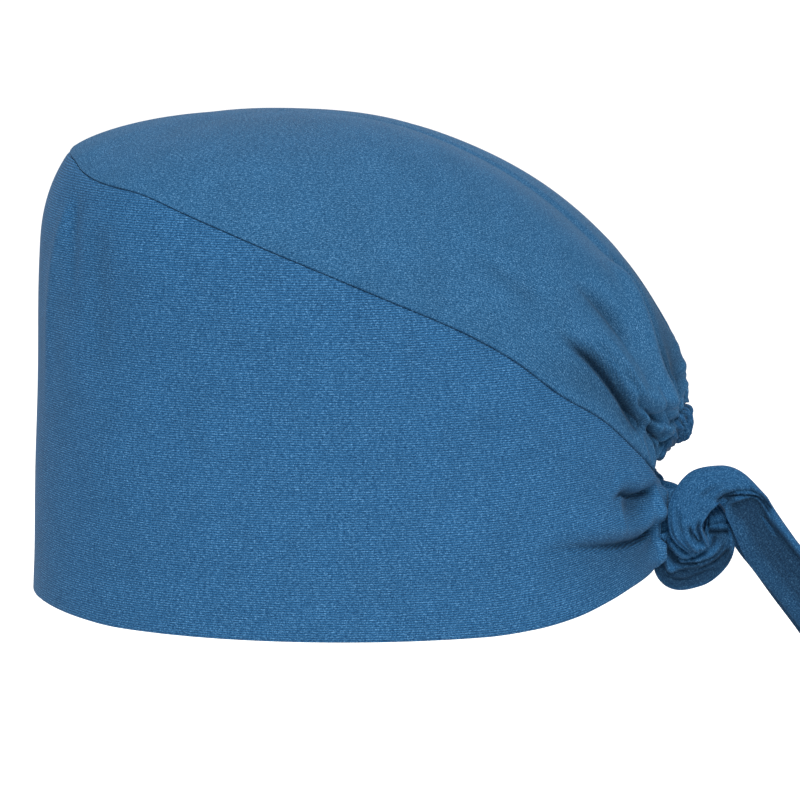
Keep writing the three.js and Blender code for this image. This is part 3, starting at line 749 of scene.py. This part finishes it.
def crown_profile():
    """(rise, inward) of each row: from the top down the inside, round the lower edge and
    up the outside to the top."""
    lip = LIP_EASE * LIP_RADIUS
    wall_rise, allowance_rise = CROWN_ALLOWANCE_RISES
    inner = even(1, CROWN_INNER_FOOT, CROWN_INNER_ROWS)
    outer = even(0, 1, CROWN_OUTER_ROWS)
    rows = [(1 - (1 - share) ** CROWN_INNER_EASE, CROWN_WALL) for share in inner]
    rows += [(wall_rise, CROWN_WALL), (allowance_rise, SEAM_ALLOWANCE)]
    rows += [(0, SEAM_ALLOWANCE), (0, SEAM_ALLOWANCE / 2)]
    rows += [(0, LIP_RADIUS), (lip / CROWN_HEIGHT, lip)]
    rows += [(rise, 0) for rise in CROWN_SEAM_ROWS]
    rows += [(mix(CROWN_OUTER_FOOT, 1, share**CROWN_OUTER_EASE), 0) for share in outer]
    return rows


def make_crown():
    """The crown panel, whose threads run from its top outwards by their true length."""
    half = even(0, SIDE_ANGLE, CROWN_SIDE_COLUMNS)
    half += even(SIDE_ANGLE, HEM_START_ANGLE, CROWN_BACK_COLUMNS)[1:]
    half += even(HEM_START_ANGLE, BACK_ANGLE, CROWN_GATHER_COLUMNS)[1:]
    feet = list(reversed(half[1:])) + [-foot for foot in half]
    places, painted_shade_rows, flat = [], [], []
    for rise, inward in crown_profile():
        line = [crown_point(foot, rise, inward) for foot in feet]
        places.append([place for place, _ in line])
        painted_shade_rows.append([depth for _, depth in line])
        turns = [math.radians(crown_angle(foot, rise)) for foot in feet]
        flat.append([(-math.cos(turn), math.sin(turn)) for turn in turns])
    for i in range(len(feet)):
        steps = [(after[i] - before[i]).length for before, after in zip(places, places[1:])]
        whole = sum(steps)
        from_start = 0.0
        for line, step in zip(flat, [0.0] + steps):
            from_start += step
            from_top = min(from_start, whole - from_start)
            line[i] = (from_top * line[i][0], from_top * line[i][1])
    return lay_cloth("crown_cloth", places, painted_shade_rows, flat)


def squared(share, roundness):
    """A sine or cosine drawn out, so that the section it goes round has fuller corners."""
    return math.copysign(abs(share) ** roundness, share)


def casing_line(round_share):
    """The middle of the crown's edge above the casing, from -1 to 1 along the casing."""
    foot = math.copysign(mix(BACK_ANGLE, CASING_START_ANGLE, abs(round_share)), round_share)
    return plain_crown(foot, 0) - seam_direction(foot) * CASING_INSET


def casing_rings():
    """For each ring along the casing: the places round it, how much painted shade darkens it
    where a ruffle draws it in, and where it is along the casing."""
    for round_share in even(-1, 1, CASING_ROWS):
        before = casing_line(max(-1, round_share - CASING_EASE))
        after = casing_line(min(1, round_share + CASING_EASE))
        along = (after - before).normalized()
        outward = (Vector((1, 0, 0)) - along * along.x).normalized()
        up = (outward.cross(along) + outward * CASING_CURL).normalized()
        out = along.cross(up).normalized()
        to_end = 1 - abs(round_share)
        wander = noise.noise(Vector((CASING_WANDERS * round_share, CASING_SEED, 0)))
        wander *= CASING_WANDER
        gathered = mix(CASING_SMOOTH_END, 1, smooth(to_end, *CASING_END_RANGE))
        ruffle = gathered * math.cos(math.pi * CASING_RUFFLES * (round_share + 1 + wander))
        narrowed = mix(CASING_END_SHARE, 1, smooth(to_end, 0, CASING_TAPER))
        breadth = narrowed * (CASING_WIDTH + CASING_RUFFLE * ruffle)
        thickness = math.sqrt(narrowed) * (CASING_THICKNESS + CASING_RUFFLE * ruffle)
        middle = casing_line(round_share) - up * (breadth / 2 + SEAM_GAP)
        closing = math.sqrt(1 - max(0, 1 - CASING_CLOSING * to_end) ** 2)
        wrinkles_round, wrinkles_up, wrinkles_through = CASING_WRINKLES
        ring = []
        for turn in even(0, 2 * math.pi, CASING_COLUMNS):
            high = squared(math.cos(turn), CASING_EDGE)
            wide = squared(math.sin(turn), CASING_FACE)
            in_wrinkle = (round_share * wrinkles_round, wrinkles_up * high, wrinkles_through * wide)
            wrinkle = gathered * noise.noise(Vector(in_wrinkle))
            bulge = CASING_RUFFLE_SHARE * ruffle * wide * wide
            ruche = 1 + CASING_RUCHE * (wrinkle + bulge)
            offset = up * (high * breadth / 2) + out * (wide * thickness / 2 * ruche)
            ring.append(middle + offset * closing)
        # Painted shade: the casing is drawn darker where the ruffle draws it in.
        yield ring, 0.5 - 0.5 * ruffle, round_share


def make_casing():
    places, painted_shade_rows, flat = [], [], []
    for ring, depth, round_share in casing_rings():
        places.append(ring)
        # depth is the ring's painted shade, the same all round it.
        painted_shade_rows.append([depth] * len(ring))
        along = CASING_HALF_CUT * round_share
        flat.append([(along, CASING_WIDTH * turn) for turn in even(0, 2, CASING_COLUMNS)])
    return lay_cloth("elastic_casing_cloth", places, painted_shade_rows, flat)


TiePlace = namedtuple("TiePlace", "at face breadth thickness")


def tie_places(side, turns, tail):
    """The places of a tie: the end of the band, its turns in the knot, and its tail."""
    angle = side * BAND_END_ANGLE
    outward = normal_of(plain_band, angle, 0.5)
    onward = outward.cross(Vector((0, 0, side))).normalized()
    middle = plain_band(angle, 0.5)
    end = middle + outward * (head_folds(band_fold_lines, middle) - BAND_WALL / 2)
    breadth = (plain_band(angle, 0) - plain_band(angle, 1)).length - 2 * SEAM_GAP
    knot = Vector((end.x + KNOT_STANDOFF + KNOT_LENGTH / 2, 0, end.z))
    places = [
        TiePlace(end - onward * TIE_OVERLAP, outward, TIE_END_SHARE * breadth, BAND_WALL),
        TiePlace(end + onward * SEAM_GAP, outward, breadth, BAND_WALL),
        TiePlace(
            end + onward * TIE_PINCH,
            (outward + Vector((0, side, 0))).normalized(),
            TIE_PINCH_SHARE * breadth,
            BAND_WALL,
        ),
    ]
    for turn in turns:
        offset = Vector((turn.x * KNOT_LENGTH, turn.y * KNOT_DEPTH, turn.z * KNOT_HEIGHT)) / 2
        face = Vector((turn.face_x, turn.face_y, turn.face_z)).normalized()
        breadth = turn.breadth * TIE_WIDTH
        places.append(TiePlace(knot + offset, face, breadth, turn.thickness * TIE_THICKNESS))
    for place in tail:
        sideways = place.side * KNOT_DEPTH
        offset = Vector((place.reach * TAIL_REACH, sideways, -place.drop * TAIL_DROP))
        places.append(TiePlace(knot + offset, Vector((0, -side, 0)), TIE_WIDTH, TIE_THICKNESS))
    return places


# Folds of the ties in the knot
RIGHT_TIE_FOLDS = [
    Fold(0.0028, 0.0010, 0.5, 0.4, 0.1, 0.1,
         [(10.1, -0.92), (10.6, -0.9), (11.7, -0.48), (12.2, 0.32), (12.56, 0.8), (13.3, 0.9)]),
    Fold(0.0028, 0.0009, 0.5, 0.4, 0.1, 0.1,
         [(11.2, -0.92), (12.12, -0.4), (12.44, 0.32), (12.81, 0.7), (13.4, 0.74)]),
    Fold(0.0038, 0.0012, 0.5, 0.8, 0.05, 0.4,
         [(12.3, -0.95), (12.6, -0.6), (12.69, -0.23), (12.81, 0.32), (13.25, 0.4), (13.75, 0.52),
          (14.5, 0.55), (16, 0.5), (18, 0.45)]),
    Fold(0.0012, 0.0014, 0.3, 0, 0.3, 0.3, [(9.5, -0.1), (10.19, -0.2), (11, -0.2)]),
    Fold(0.0024, 0.0009, 0.5, 0.3, 0.2, 0.2,
         [(8.6, -0.75), (7.75, -0.66), (7.25, -0.6), (7.1, -0.5), (7.31, -0.36), (7.9, -0.34)]),
    Fold(0.0020, 0.0009, 0.4, 0.2, 0.2, 0.3, [(8.3, -0.2), (7.4, -0.05), (6.9, -0.3)]),
    Fold(0.0008, 0.0012, 0.3, 0, 0.3, 0.3, [(8.9, 0.62), (8.3, 0.4), (7.6, 0.3)]),
    Fold(0.0008, 0.0012, 0.3, 0, 0.3, 0.3, [(11.2, -0.3), (11.9, 0.2), (12.1, 0.7)]),
]
LEFT_TIE_FOLDS = [
    Fold(0.0026, 0.0011, 0.5, 0.5, 0.1, 0.15,
         [(2.6, -0.3), (3.9, -0.4), (4.44, 0.05), (5.3, 0.5), (5.9, 0.62), (7.3, 0.45),
          (8.2, 0.1)]),
    Fold(0.0026, 0.0011, 0.5, 0.5, 0.1, 0.15,
         [(3.4, -0.75), (4.2, -0.45), (4.81, 0.15), (5.5, 0.3), (6.31, 0.25), (7.12, -0.05),
          (7.8, -0.5)]),
    Fold(0.0026, 0.0011, 0.5, 0.6, 0.1, 0.15,
         [(4.3, -0.88), (4.94, -0.5), (5.31, -0.15), (6.44, -0.13), (7.06, -0.42), (7.6, -0.8)]),
    Fold(0.0020, 0.0010, 0.5, 0.5, 0.1, 0.2,
         [(4.9, -0.88), (5.38, -0.55), (5.94, -0.45), (6.8, -0.7)]),
    Fold(0.0026, 0.0010, 0.5, 0.4, 0.1, 0.1, [(8.19, 0.75), (8.12, 0.13), (8.12, -0.6)]),
    Fold(0.0022, 0.0009, 0.5, 0.4, 0.1, 0.1, [(8.56, 0.8), (8.5, 0.0), (8.44, -0.7)]),
    Fold(0.0012, 0.0008, 0.5, 0.3, 0.1, 0.2, [(3.1, 0.3), (4.2, 0.55), (4.9, 0.8), (5.7, 0.85)]),
]


TieRow = namedtuple("TieRow", "row length middle across face half_thickness")


class TieStrip:
    """A flat section carried along a smooth line through the places of a tie. Across
    reaches from the middle to the edge of the strip."""

    def __init__(self, places):
        self.rows = []
        last = len(places) - 2
        length = 0.0
        before = None
        for row, middle, along in smooth_line([place.at for place in places], TIE_STEPS):
            here, after = places[min(last, int(row)) :][:2]
            share = smooth(row - min(last, int(row)), 0, 1)
            # Near the band the strip is turned as if its line were level.
            along.z *= smooth(row - 1, 0, LEVEL_PLACES)
            along.normalize()
            across = here.face.lerp(after.face, share).cross(along).normalized()
            length += (middle - before).length if before else 0
            before = middle
            half_breadth = mix(here.breadth, after.breadth, share) / 2
            half_thickness = mix(here.thickness, after.thickness, share) / 2
            face = along.cross(across)
            across = across * half_breadth
            self.rows.append(TieRow(row, length, middle, across, face, half_thickness))

    def front(self, row, wide):
        """The place on its front at a row and a share of the way across."""
        at = self.rows[round(row * TIE_STEPS)]
        high = (1 - min(1, abs(wide) ** (2 / TIE_SQUARENESS))) ** (TIE_SQUARENESS / 2)
        return at.middle + at.across * wide + at.face * (high * at.half_thickness)


def make_tie(name, side, turns, tail, folds):
    """A tie from its end in the band, through the knot, to the end of its tail. Folds show
    on its front, and its colour gets painted shade in the folds and along the tail."""
    strip = TieStrip(tie_places(side, turns, tail))
    lines = []
    for fold in folds:
        path_rows = [row for row, _ in fold.path]
        first = min(path_rows) - TIE_FOLD_ROWS
        end = max(path_rows) + TIE_FOLD_ROWS
        lines.append((first, end, FoldLine(fold, strip.front)))
    places, painted_shade_rows, flat = [], [], []
    count = len(strip.rows)
    for index, (row, length, middle, across, face, half_thickness) in enumerate(strip.rows):
        near = [line for first, end, line in lines if first < row < end]
        to_end = min(index, count - 1 - index)
        closing = math.sqrt(1 - (1 - min(1, to_end / TIE_CLOSING_ROWS)) ** 2)
        bunched = TIE_WIDTH / 2 / across.length
        # Painted shade, darker along the tail
        shade = TAIL_SHADE * smooth(row, *TAIL_SHADE_ROWS)
        ring, deep = [], []
        for turn in even(0, 2 * math.pi, TIE_COLUMNS):
            wide = squared(math.cos(turn), TIE_SQUARENESS)
            high = squared(math.sin(turn), TIE_SQUARENESS)
            plain = middle + across * wide + face * (high * half_thickness)
            pressed = sum(line.pressed(plain, face) for line in near) if high > 0 else 0
            pressed = min(pressed, TIE_FOLD_LIMIT * half_thickness)
            wrinkle = noise.noise(Vector((
                length / TIE_RUMPLE_LENGTH,
                TIE_RUMPLES_ACROSS * wide * bunched,
                TIE_RUMPLES_THROUGH * high + side,
            )))
            rumple = high * TIE_RUMPLE * min(TIE_MOST_BUNCHED, bunched) * wrinkle
            place = plain + face * (rumple - pressed * min(1, TIE_FOLD_EDGE * abs(high)))
            ring.append(middle.lerp(place, closing))
            # Painted shade from the folds and along the tail
            deep.append(pressed / TIE_FULL_DEPTH + shade)
        places.append(ring)
        painted_shade_rows.append(deep)
        flat.append([(length, turn * TIE_WIDTH) for turn in even(0, 2, TIE_COLUMNS)])
    return lay_cloth(name, places, painted_shade_rows, flat)


# Finishes

def add_node(nodes, kind, **settings):
    """A shader node with its settings, and its inputs given as input_NAME."""
    node = nodes.new(kind)
    for name, value in settings.items():
        if name.startswith("input_"):
            node.inputs[name[6:]].default_value = value
        else:
            setattr(node, name, value)
    return node


def blended(material, factor, first, second, kind="MIX"):
    """The colour that a factor mixes from two; each is a socket or a plain value."""
    node = add_node(material.node_tree.nodes, "ShaderNodeMix", data_type="RGBA", blend_type=kind)
    sockets = {socket.identifier: socket for socket in node.inputs}
    for name, value in (("Factor_Float", factor), ("A_Color", first), ("B_Color", second)):
        if isinstance(value, bpy.types.NodeSocket):
            material.node_tree.links.new(value, sockets[name])
        else:
            sockets[name].default_value = value
    return next(socket for socket in node.outputs if socket.identifier == "Result_Color")


# Tone of the cloth, how dark the painted shade makes it in the deepest folds, how short its
# slubs are and how much its ribs show. It is one cloth: the crown's tone is a little lighter
# and greyer as painted sheen, and the casing's and ties' tones are darker as painted shade.
Finish = namedtuple("Finish", "name tone fade slub rib")
BAND_FINISH = Finish("band_cloth", (0.0140, 0.0760, 0.174), 0.55, 0.4, 0.34)
# Painted sheen: a little lighter and greyer than the band's tone
CROWN_FINISH = Finish("crown_cloth", (0.0162, 0.0785, 0.170), 0.5, 0.5, 0.14)
# Painted shade: the casing and the ties are darker than the band
CASING_FINISH = Finish("casing_cloth", (0.0110, 0.0640, 0.150), 0.45, 0.7, 0.08)
TIE_FINISH = Finish("tie_cloth", (0.0110, 0.0640, 0.150), 0.4, 0.8, 0.06)

CLOTH_SHINE = {
    "Roughness": 0.82,
    "Specular IOR Level": 0.12,
    "Sheen Weight": 0.03,
    "Sheen Roughness": 0.45,
    "Sheen Tint": (0.75, 0.88, 1.0, 1),
}
# Scales are for a metre of cloth.
SPECK_SCALE = 2600
SLUB_SCALE = 2200
SLUB_ROUGHNESS = 0.7
THREAD_WANDER = 1.1
TONE_SCALE = 90
TONE_RANGE = (0.86, 1.12)
FOLD_SHADE_START = 0.05
WEAVE_BUMP = 0.5
WEAVE_HEIGHT = 0.0001
GRAIN_HEIGHT = 0.8

# What the specks multiply the tone by, from dark fibres to pale ones
SpeckStop = namedtuple("SpeckStop", "at colour")
SPECK_STOPS = [
    SpeckStop(0.34, (0.2, 0.42, 0.52, 1)),
    SpeckStop(0.52, (1, 1, 1, 1)),
    SpeckStop(0.68, (5, 2.5, 2, 1)),
]


def cloth_finish(finish):
    """Fine plain-weave cloth: threads both ways, light specks of fibre, slow changes of
    tone, and painted shade in the folds, the nape's hollow and along the tails."""
    material = bpy.data.materials.new(finish.name)
    material.use_nodes = True
    nodes = material.node_tree.nodes
    link = material.node_tree.links.new
    shader = nodes["Principled BSDF"]
    for socket, value in CLOTH_SHINE.items():
        shader.inputs[socket].default_value = value

    cloth = add_node(nodes, "ShaderNodeUVMap", uv_map="cloth")
    place = add_node(nodes, "ShaderNodeTexCoord").outputs["Object"]

    stretch = add_node(nodes, "ShaderNodeMapping")
    stretch.inputs["Scale"].default_value = (finish.slub, 1, 1)
    link(cloth.outputs["UV"], stretch.inputs["Vector"])

    specks = add_node(nodes, "ShaderNodeTexNoise", input_Scale=SPECK_SCALE, input_Detail=1)
    link(place, specks.inputs["Vector"])
    slubs = add_node(nodes, "ShaderNodeTexNoise", input_Scale=SLUB_SCALE, input_Detail=2)
    slubs.inputs["Roughness"].default_value = SLUB_ROUGHNESS
    link(stretch.outputs["Vector"], slubs.inputs["Vector"])
    grain = add_node(nodes, "ShaderNodeMix")
    grain.inputs["Factor"].default_value = 0.5
    link(specks.outputs["Fac"], grain.inputs["A"])
    link(slubs.outputs["Fac"], grain.inputs["B"])
    threads = []
    for direction in ("X", "Y"):
        wave = add_node(nodes, "ShaderNodeTexWave", bands_direction=direction, input_Detail=1)
        wave.inputs["Scale"].default_value = THREAD_SCALE
        wave.inputs["Distortion"].default_value = THREAD_WANDER
        link(cloth.outputs["UV"], wave.inputs["Vector"])
        threads.append(wave)
    tones = add_node(nodes, "ShaderNodeTexNoise", input_Scale=TONE_SCALE, input_Detail=3)
    link(place, tones.inputs["Vector"])

    dark, light = (tuple(share * channel for channel in finish.tone) for share in TONE_RANGE)
    base = blended(material, tones.outputs["Fac"], dark + (1,), light + (1,))

    speck_ramp = add_node(nodes, "ShaderNodeValToRGB")
    stops = speck_ramp.color_ramp.elements
    stops.new(SPECK_STOPS[1].at)
    for stop, speck in zip(stops, SPECK_STOPS):
        stop.position = speck.at
        stop.color = speck.colour
    link(grain.outputs["Result"], speck_ramp.inputs["Fac"])
    speckled = blended(material, 1, base, speck_ramp.outputs["Color"], "MULTIPLY")

    ribs = add_node(nodes, "ShaderNodeMapRange")
    ribs.inputs["To Min"].default_value = 1 - finish.rib
    ribs.inputs["To Max"].default_value = 1 + finish.rib
    link(threads[1].outputs["Fac"], ribs.inputs["Value"])
    ribbed = add_node(nodes, "ShaderNodeVectorMath", operation="SCALE")
    link(speckled, ribbed.inputs[0])
    link(ribs.outputs["Result"], ribbed.inputs["Scale"])

    # The painted shade stored on each piece darkens its colour.
    depth = add_node(nodes, "ShaderNodeAttribute", attribute_name="painted_shade")
    painted_shade_factor = add_node(nodes, "ShaderNodeMapRange")
    painted_shade_factor.inputs["From Min"].default_value = FOLD_SHADE_START
    painted_shade_factor.inputs["From Max"].default_value = 1
    painted_shade_factor.inputs["To Min"].default_value = 1
    painted_shade_factor.inputs["To Max"].default_value = finish.fade
    link(depth.outputs["Fac"], painted_shade_factor.inputs["Value"])
    shaded = add_node(nodes, "ShaderNodeVectorMath", operation="SCALE")
    link(ribbed.outputs["Vector"], shaded.inputs[0])
    link(painted_shade_factor.outputs["Result"], shaded.inputs["Scale"])
    link(shaded.outputs["Vector"], shader.inputs["Base Color"])

    weave = add_node(nodes, "ShaderNodeMath", operation="MULTIPLY")
    link(threads[0].outputs["Fac"], weave.inputs[0])
    link(threads[1].outputs["Fac"], weave.inputs[1])
    rough = add_node(nodes, "ShaderNodeMath", operation="MULTIPLY_ADD")
    link(grain.outputs["Result"], rough.inputs[0])
    rough.inputs[1].default_value = GRAIN_HEIGHT
    link(weave.outputs["Value"], rough.inputs[2])
    bump = add_node(nodes, "ShaderNodeBump")
    bump.inputs["Strength"].default_value = WEAVE_BUMP
    bump.inputs["Distance"].default_value = WEAVE_HEIGHT
    link(rough.outputs["Value"], bump.inputs["Height"])
    link(bump.outputs["Normal"], shader.inputs["Normal"])
    return material


def finish_piece(piece, material, slot, *nodes):
    piece.data.materials.append(material)
    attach(piece, "root")
    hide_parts(*nodes)


side_band = make_side_band()
crown = make_crown()
casing = make_casing()
left_tie = make_tie("left_tie_cloth", -1, LEFT_TIE_TURNS, LEFT_TAIL, LEFT_TIE_FOLDS)
right_tie = make_tie("right_tie_cloth", 1, RIGHT_TIE_TURNS, RIGHT_TAIL, RIGHT_TIE_FOLDS)

finish_piece(side_band, cloth_finish(BAND_FINISH), "band_cloth", "side_band")
finish_piece(crown, cloth_finish(CROWN_FINISH), "crown_cloth", "crown")
finish_piece(casing, cloth_finish(CASING_FINISH), "casing_cloth", "elastic_casing")
tie_cloth = cloth_finish(TIE_FINISH)
finish_piece(left_tie, tie_cloth, "tie_cloth", "left_tie")
finish_piece(right_tie, tie_cloth, "tie_cloth", "right_tie")

# Studio

FLOOR_HEIGHT = -0.28
FLOOR_SIZE = 40
FLOOR_MIDDLE = 4
FLOOR_TONE = (0.93, 0.93, 0.93, 1)
SKY_STRENGTH = 0.4
SENSOR_WIDTH = 36
LENS = 223
VIEW_END = 120
CAMERA_AT = (0, -1.6629, 0.3535)
CAMERA_AIM = (0.0182, 0.0137, 0.0645)

# Where each light stands and what it is aimed at, how wide it is, and its power. Disks
# are measured in metres and watts, the sun in radians and watts for a square metre.
Light = namedtuple("Light", "name at aim size power kind")
LIGHTS = [
    Light("key", (0.1, -1.0, 0.95), (0, 0, 0), 0.5, 3.7, "SUN"),
    Light("fill", (1.2, -1.6, 0.9), (0, 0, 0.05), 1.0, 5, "AREA"),
    Light("top", (-0.4, 0.9, 1.7), (0, 0, 0.1), 1.0, 10, "AREA"),
    Light("side", (-1.6, -0.2, 0.7), (0, 0, 0.05), 1.0, 3, "AREA"),
    Light("back", (0.3, 1.8, 0.9), (0, 0, 0.05), 1.0, 8, "AREA"),
]


def make_floor():
    mesh = bmesh.new()
    bmesh.ops.create_grid(mesh, x_segments=1, y_segments=1, size=FLOOR_SIZE)
    bmesh.ops.translate(mesh, verts=mesh.verts, vec=(0, FLOOR_MIDDLE, FLOOR_HEIGHT))
    data = bpy.data.meshes.new("floor")
    mesh.to_mesh(data)
    mesh.free()
    floor = bpy.data.objects.new("floor", data)
    bpy.context.scene.collection.objects.link(floor)
    material = bpy.data.materials.new("pale_floor")
    material.use_nodes = True
    shader = material.node_tree.nodes["Principled BSDF"]
    shader.inputs["Base Color"].default_value = FLOOR_TONE
    shader.inputs["Roughness"].default_value = 0.9
    data.materials.append(material)


def set_in_scene(name, data, at, aim):
    """A lamp or camera at a place, turned to what it is aimed at."""
    item = bpy.data.objects.new(name, data)
    item.location = at
    item.rotation_mode = "QUATERNION"
    item.rotation_quaternion = (Vector(aim) - item.location).to_track_quat("-Z", "Y")
    bpy.context.scene.collection.objects.link(item)
    return item


def add_light(light):
    data = bpy.data.lights.new(light.name, light.kind)
    data.energy = light.power
    if light.kind == "SUN":
        data.angle = light.size
    else:
        data.shape = "DISK"
        data.size = light.size
    set_in_scene(light.name, data, light.at, light.aim)


def add_camera():
    data = bpy.data.cameras.new("camera")
    data.sensor_width = SENSOR_WIDTH
    data.lens = LENS
    data.clip_end = VIEW_END
    bpy.context.scene.camera = set_in_scene("camera", data, CAMERA_AT, CAMERA_AIM)


def set_world():
    world = bpy.data.worlds.new("studio")
    world.use_nodes = True
    background = world.node_tree.nodes["Background"]
    background.inputs["Color"].default_value = (1, 1, 1, 1)
    background.inputs["Strength"].default_value = SKY_STRENGTH
    bpy.context.scene.world = world


make_floor()
set_world()
for light in LIGHTS:
    add_light(light)
add_camera()
bpy.context.scene.view_settings.view_transform = "Standard"
